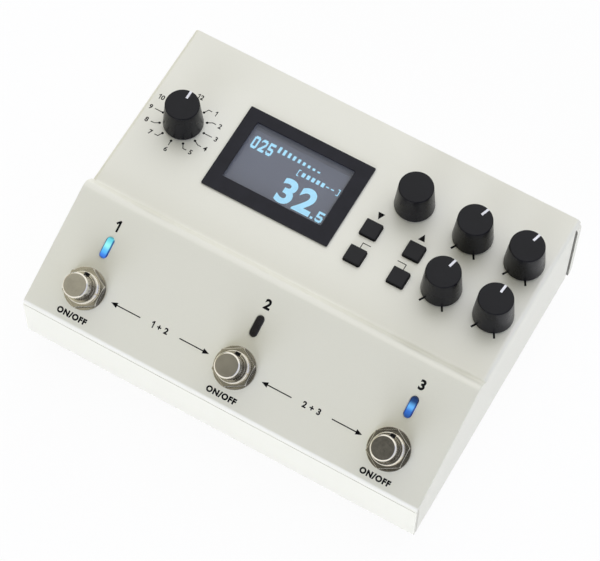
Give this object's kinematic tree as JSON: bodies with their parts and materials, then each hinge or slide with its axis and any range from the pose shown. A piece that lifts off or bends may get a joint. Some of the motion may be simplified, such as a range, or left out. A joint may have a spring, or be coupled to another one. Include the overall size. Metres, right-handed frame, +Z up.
{
  "type": "digital delay pedal",
  "caption": "Floor pedal in a white folded metal case: sloping foot switch panel in front, level panel with display, knobs and keys behind a ridge.",
  "frame": {"origin": "middle of the footprint, on the surface that the feet stand on", "axes": "+X to the player's right, +Y to the rear wall with the jacks, +Z up"},
  "size_m": [0.17, 0.134, 0.062],
  "materials": {
    "paint": "pearl white paint",
    "rubber": "matt",
    "steel": "plated",
    "switch_metal": "nickel plate",
    "bezel": "gloss",
    "clear": "clear",
    "display": "satin",
    "board": "satin",
    "chip": "matt",
    "led": "clear",
    "lamp_cyan": "lit",
    "lamp_dark": "unlit",
    "lamp_blue": "lit",
    "key": "satin",
    "knob": "satin",
    "jack": "satin"
  },
  "bodies": {
    "housing": {"top_cover": "paint", "base_chassis": "paint", "rubber_feet": "rubber", "base_screws": "steel", "board_standoffs": "steel", "board_screws": "steel", "led_board_screws": "steel", "control_nuts": "steel", "jack_nuts": "steel", "jack_washers": "steel", "switch_bodies": "switch_metal", "switch_nuts": "switch_metal", "switch_washers": "switch_metal", "display_bezel": "bezel", "display_lens": "clear", "lcd_module": "display", "panel_board": "board", "main_board": "board", "led_board": "board", "board_chips": "chip", "board_link": "chip", "key_switches": "chip", "mode_switch": "chip", "value_encoder": "chip", "control_pots": "chip", "power_switch": "chip", "leds": "led", "led_lens_left": "lamp_cyan", "led_lens_middle": "lamp_dark", "led_lens_right": "lamp_blue", "input_jack_left": "jack", "input_jack_right": "jack", "output_jack_left": "jack", "output_jack_right": "jack", "pedal_jack": "jack", "dc_inlet": "jack"},
    "mode_control": {"mode_knob": "knob", "mode_shaft": "steel"},
    "value_control": {"value_knob": "knob", "value_shaft": "steel"},
    "feedback_control": {"feedback_knob": "knob", "feedback_shaft": "steel"},
    "level_control": {"level_knob": "knob", "level_shaft": "steel"},
    "time_control": {"time_knob": "knob", "time_shaft": "steel"},
    "depth_control": {"depth_knob": "knob", "depth_shaft": "steel"},
    "foot_button_left": {"foot_button_left": "switch_metal"},
    "foot_button_middle": {"foot_button_middle": "switch_metal"},
    "foot_button_right": {"foot_button_right": "switch_metal"},
    "key_down": {"key_down": "key"},
    "key_up": {"key_up": "key"},
    "key_exit": {"key_exit": "key"},
    "key_edit": {"key_edit": "key"},
    "power_button": {"power_button": "jack"}
  },
  "joints": [
    {"name": "mode_turn", "type": "hinge", "parent": "housing", "child": "mode_control", "pos_m": [-0.067, 0.0223, 0.048], "axis": [0, 0, 1], "continuous": true},
    {"name": "value_turn", "type": "hinge", "parent": "housing", "child": "value_control", "pos_m": [0.0266, 0.0357, 0.048], "axis": [0, 0, 1], "continuous": true},
    {"name": "feedback_turn", "type": "hinge", "parent": "housing", "child": "feedback_control", "pos_m": [0.0521, 0.0346, 0.048], "axis": [0, 0, 1], "range_deg": [-130, 170]},
    {"name": "level_turn", "type": "hinge", "parent": "housing", "child": "level_control", "pos_m": [0.0739, 0.0346, 0.048], "axis": [0, 0, 1], "range_deg": [-134, 166]},
    {"name": "time_turn", "type": "hinge", "parent": "housing", "child": "time_control", "pos_m": [0.0521, 0.0097, 0.048], "axis": [0, 0, 1], "range_deg": [-135, 165]},
    {"name": "depth_turn", "type": "hinge", "parent": "housing", "child": "depth_control", "pos_m": [0.0739, 0.0097, 0.048], "axis": [0, 0, 1], "range_deg": [-144, 156]},
    {"name": "foot_button_left_press", "type": "slide", "parent": "housing", "child": "foot_button_left", "axis": [0, 0.3971, -0.9178], "range_m": [0, 0.0035], "stiffness_N_per_m": 4000, "springref_m": -0.001},
    {"name": "foot_button_middle_press", "type": "slide", "parent": "housing", "child": "foot_button_middle", "axis": [0, 0.3971, -0.9178], "range_m": [0, 0.0035], "stiffness_N_per_m": 4000, "springref_m": -0.001},
    {"name": "foot_button_right_press", "type": "slide", "parent": "housing", "child": "foot_button_right", "axis": [0, 0.3971, -0.9178], "range_m": [0, 0.0035], "stiffness_N_per_m": 4000, "springref_m": -0.001},
    {"name": "key_down_press", "type": "slide", "parent": "housing", "child": "key_down", "axis": [0, 0, -1], "range_m": [0, 0.0008], "stiffness_N_per_m": 1500, "springref_m": -0.0005},
    {"name": "key_up_press", "type": "slide", "parent": "housing", "child": "key_up", "axis": [0, 0, -1], "range_m": [0, 0.0008], "stiffness_N_per_m": 1500, "springref_m": -0.0005},
    {"name": "key_exit_press", "type": "slide", "parent": "housing", "child": "key_exit", "axis": [0, 0, -1], "range_m": [0, 0.0008], "stiffness_N_per_m": 1500, "springref_m": -0.0005},
    {"name": "key_edit_press", "type": "slide", "parent": "housing", "child": "key_edit", "axis": [0, 0, -1], "range_m": [0, 0.0008], "stiffness_N_per_m": 1500, "springref_m": -0.0005},
    {"name": "power_press", "type": "slide", "parent": "housing", "child": "power_button", "axis": [0, -1, 0], "range_m": [0, 0.0025]}
  ]
}
